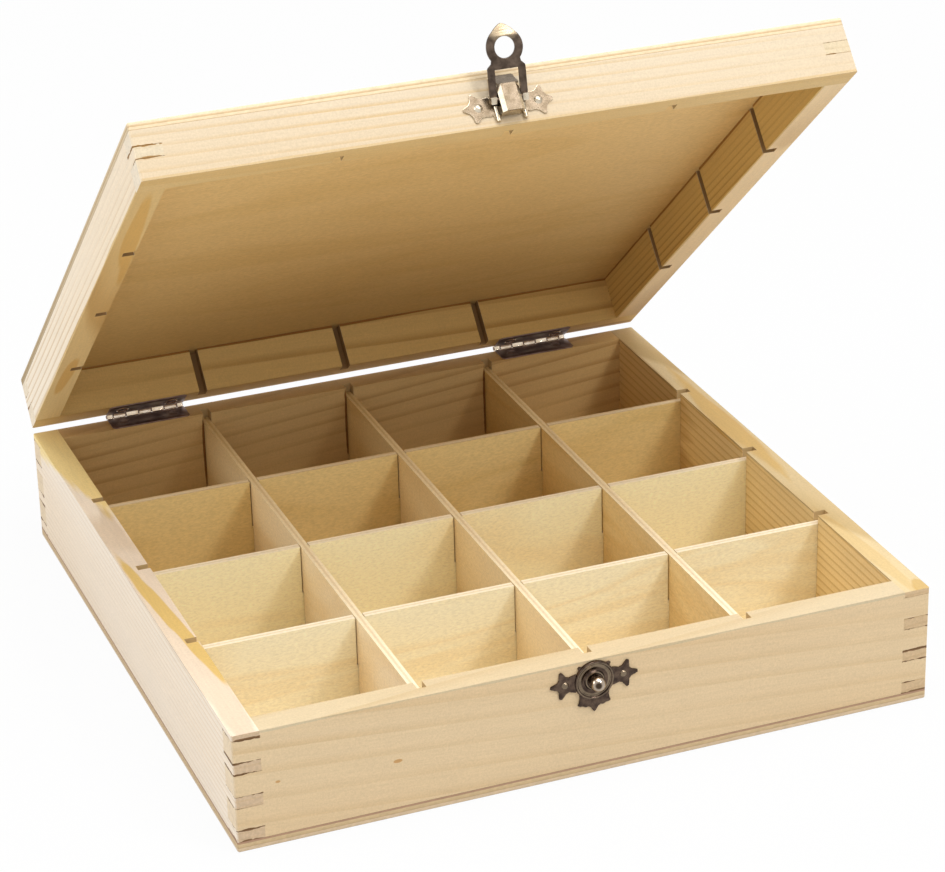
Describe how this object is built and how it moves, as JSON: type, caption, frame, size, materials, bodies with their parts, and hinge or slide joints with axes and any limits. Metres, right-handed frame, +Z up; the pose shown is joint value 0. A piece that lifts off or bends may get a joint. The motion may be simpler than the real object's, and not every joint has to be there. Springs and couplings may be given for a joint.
{
  "type": "stamp box",
  "caption": "Square finger-jointed pine box with a crossed divider grid, a shallow lid hinged at the back and a snap hasp that drops over a ball knob.",
  "frame": {"origin": "middle of the underside of the base", "axes": "+X along the front to the right, +Y from the front to the hinges at the back, +Z up"},
  "size_m": [0.265, 0.2861, 0.2554],
  "materials": {
    "pine": "unfinished sanded pine",
    "panel_plywood": "unfinished plywood",
    "divider_plywood": "unfinished poplar plywood",
    "hinge_steel": "bronzed sheet steel, bright on the knuckles",
    "nickel_plated_steel": "nickel plated",
    "bronzed_steel": "dark bronzed",
    "knob_steel": "polished"
  },
  "bodies": {
    "base": {"base_front_wall": "pine", "base_back_wall": "pine", "base_left_wall": "pine", "base_right_wall": "pine", "base_panel": "panel_plywood", "long_divider_1": "divider_plywood", "long_divider_2": "divider_plywood", "long_divider_3": "divider_plywood", "cross_divider_1": "divider_plywood", "cross_divider_2": "divider_plywood", "cross_divider_3": "divider_plywood", "left_hinge_base_leaf": "hinge_steel", "right_hinge_base_leaf": "hinge_steel", "left_hinge_pin": "hinge_steel", "right_hinge_pin": "hinge_steel", "base_hinge_nails": "hinge_steel", "catch_plate": "bronzed_steel", "catch_knob": "knob_steel", "catch_nails": "bronzed_steel"},
    "lid": {"lid_front_wall": "pine", "lid_back_wall": "pine", "lid_left_wall": "pine", "lid_right_wall": "pine", "lid_panel": "panel_plywood", "left_hinge_lid_leaf": "hinge_steel", "right_hinge_lid_leaf": "hinge_steel", "lid_hinge_nails": "hinge_steel", "latch_plate": "nickel_plated_steel", "latch_nails": "nickel_plated_steel"},
    "hasp": {"hasp": "bronzed_steel"}
  },
  "joints": [
    {"name": "lid_hinge", "type": "hinge", "parent": "base", "child": "lid", "pos_m": [0, 0.1341, 0.0464], "axis": [-1, 0, 0], "range_deg": [-41, 139]},
    {"name": "hasp_pivot", "type": "hinge", "parent": "lid", "child": "hasp", "pos_m": [0, -0.06311, 0.23002], "axis": [1, 0, 0], "range_deg": [-30, 150]}
  ]
}
